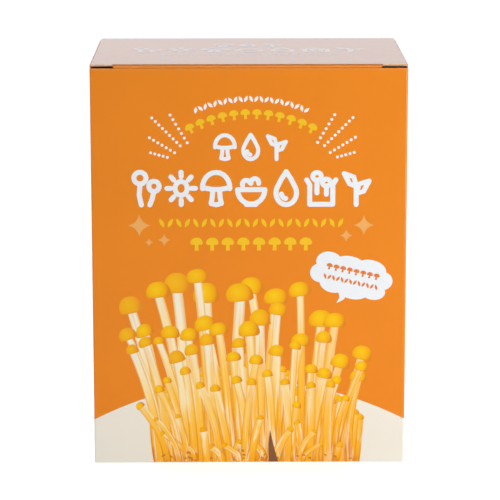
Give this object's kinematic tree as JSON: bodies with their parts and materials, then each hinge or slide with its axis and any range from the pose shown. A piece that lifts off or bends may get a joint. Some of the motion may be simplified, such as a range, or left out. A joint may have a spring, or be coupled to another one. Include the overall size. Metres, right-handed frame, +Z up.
{
  "type": "mushroom grow kit carton",
  "caption": "Upright tuck-top paperboard carton of an enoki mushroom grow kit, printed with a mushroom cluster, holding a bagged substrate block and a leaflet; the lid and dust flaps open.",
  "frame": {"origin": "centre of the carton's base, on the surface it stands on", "axes": "+Z up; the printed front faces -Y, so the lid's crease is along the top of the +Y wall; +X is to the right of someone facing the front"},
  "size_m": [0.15, 0.105, 0.194],
  "materials": {
    "printed_board": "offset-printed orange and cream, gloss varnished",
    "plain_board": "uncoated grey-white reverse of the board",
    "bag_film": "clear soft polypropylene film",
    "substrate": "sawdust bound by white mycelium",
    "leaflet_paper": "uncoated folded paper"
  },
  "bodies": {
    "carton": {"carton_sleeve": "printed_board", "bottom_flap_front": "plain_board", "bottom_flap_back": "plain_board", "bottom_flap_left": "plain_board", "bottom_flap_right": "plain_board", "grow_bag": "bag_film", "substrate_block": "substrate", "leaflet": "leaflet_paper"},
    "lid": {"lid_panel": "printed_board", "tuck_flap": "printed_board"},
    "dust_flap_left": {"dust_flap_left": "plain_board"},
    "dust_flap_right": {"dust_flap_right": "plain_board"}
  },
  "joints": [
    {"name": "lid_hinge", "type": "hinge", "parent": "carton", "child": "lid", "pos_m": [0, 0.0525, 0.194], "axis": [-1, 0, 0], "range_deg": [0, 180]},
    {"name": "dust_flap_left_hinge", "type": "hinge", "parent": "carton", "child": "dust_flap_left", "pos_m": [-0.075, 0, 0.1931], "axis": [0, -1, 0], "range_deg": [0, 90]},
    {"name": "dust_flap_right_hinge", "type": "hinge", "parent": "carton", "child": "dust_flap_right", "pos_m": [0.075, 0, 0.1931], "axis": [0, 1, 0], "range_deg": [0, 90]}
  ],
  "couplings": [
    {"joint": "dust_flap_left_hinge", "follows": "lid_hinge", "ratio": 0.5},
    {"joint": "dust_flap_right_hinge", "follows": "lid_hinge", "ratio": 0.5}
  ]
}
